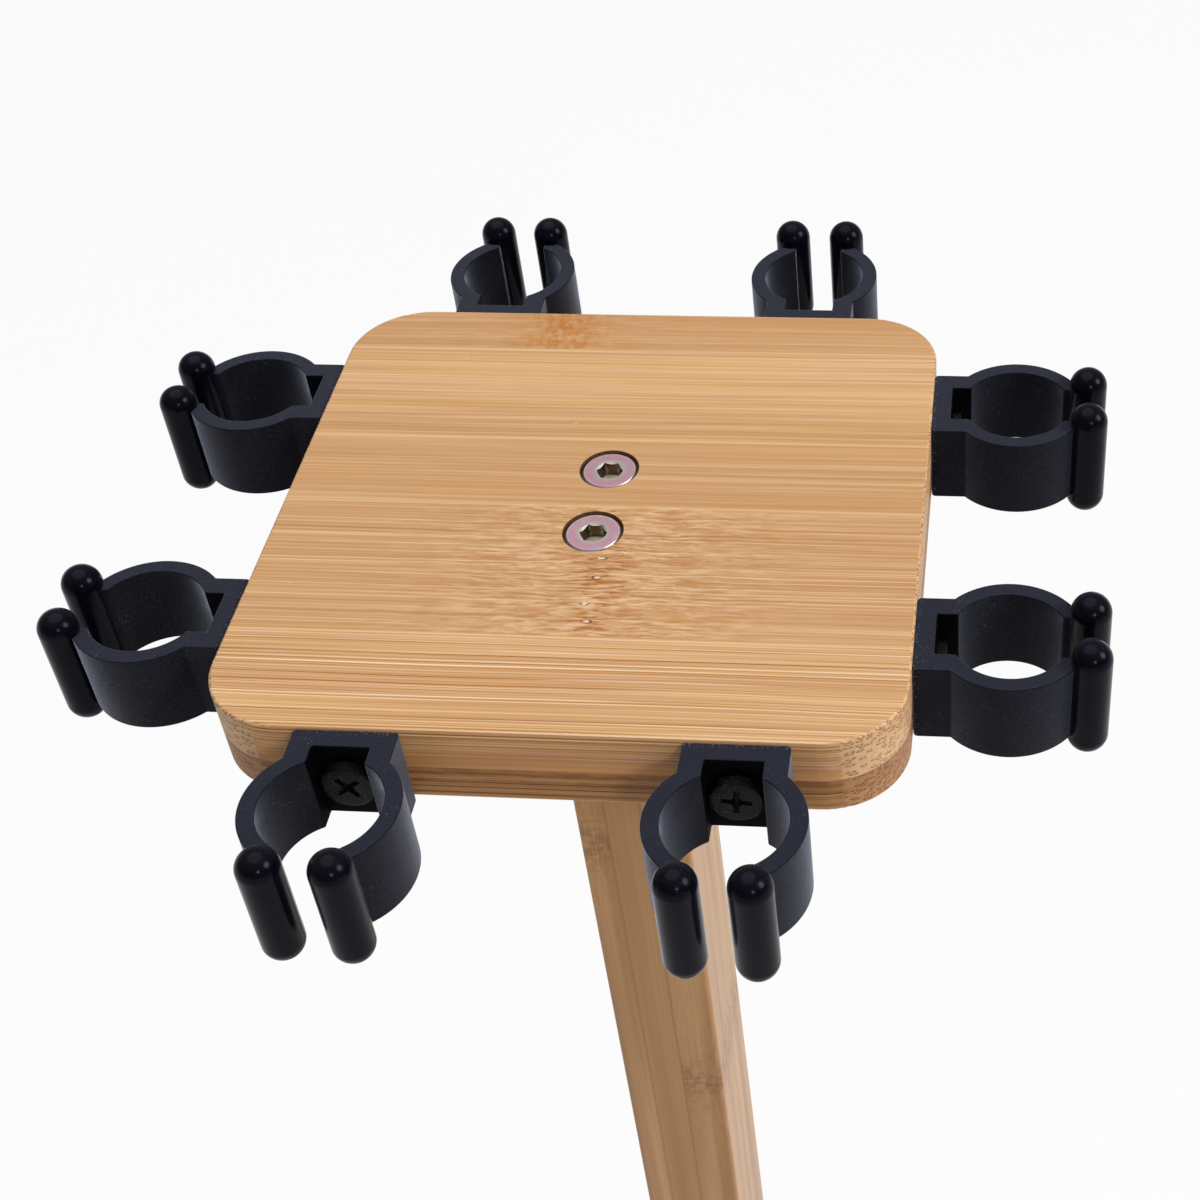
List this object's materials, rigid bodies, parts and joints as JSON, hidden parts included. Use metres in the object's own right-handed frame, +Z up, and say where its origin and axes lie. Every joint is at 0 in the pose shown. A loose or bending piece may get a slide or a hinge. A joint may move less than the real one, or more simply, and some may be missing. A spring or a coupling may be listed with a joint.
{
  "type": "fishing rod rack",
  "caption": "Floor-standing bamboo rack: square top plate on a central post with open spring clips round its edge that hold rods upright over recesses in a square base.",
  "frame": {"origin": "on the floor, under the middle of the rack", "axes": "+Z up along the post, -Y to the front, +X to the right; the two top bolts lie along Y"},
  "size_m": [0.25, 0.25, 0.7541],
  "materials": {
    "bamboo_pale": "clear satin lacquer",
    "bamboo_brown": "clear satin lacquer",
    "bamboo_post": "clear satin lacquer",
    "clip_plastic": "satin moulded",
    "clip_screw_black": "black oxide, grainy",
    "bolt_zinc": "iridescent zinc plate",
    "insert_zinc": "yellow zinc plate",
    "foot_rubber": "matt",
    "foot_screw_steel": "bright zinc plate"
  },
  "bodies": {
    "root": {"top_plate_upper_ply": "bamboo_pale", "top_plate_lower_ply": "bamboo_brown", "post": "bamboo_post", "base_plate_upper_ply": "bamboo_pale", "base_plate_lower_ply": "bamboo_brown", "clip_front_left": "clip_plastic", "clip_front_right": "clip_plastic", "clip_right_front": "clip_plastic", "clip_right_rear": "clip_plastic", "clip_rear_right": "clip_plastic", "clip_rear_left": "clip_plastic", "clip_left_rear": "clip_plastic", "clip_left_front": "clip_plastic", "clip_screw_front_left": "clip_screw_black", "clip_screw_front_right": "clip_screw_black", "clip_screw_right_front": "clip_screw_black", "clip_screw_right_rear": "clip_screw_black", "clip_screw_rear_right": "clip_screw_black", "clip_screw_rear_left": "clip_screw_black", "clip_screw_left_rear": "clip_screw_black", "clip_screw_left_front": "clip_screw_black", "top_bolt_front": "bolt_zinc", "top_bolt_rear": "bolt_zinc", "base_bolt_front": "bolt_zinc", "base_bolt_rear": "bolt_zinc", "top_insert_front": "insert_zinc", "top_insert_rear": "insert_zinc", "base_insert_front": "insert_zinc", "base_insert_rear": "insert_zinc", "foot_front_left": "foot_rubber", "foot_front_right": "foot_rubber", "foot_rear_right": "foot_rubber", "foot_rear_left": "foot_rubber", "foot_screw_front_left": "foot_screw_steel", "foot_screw_front_right": "foot_screw_steel", "foot_screw_rear_right": "foot_screw_steel", "foot_screw_rear_left": "foot_screw_steel"}
  },
  "joints": []
}
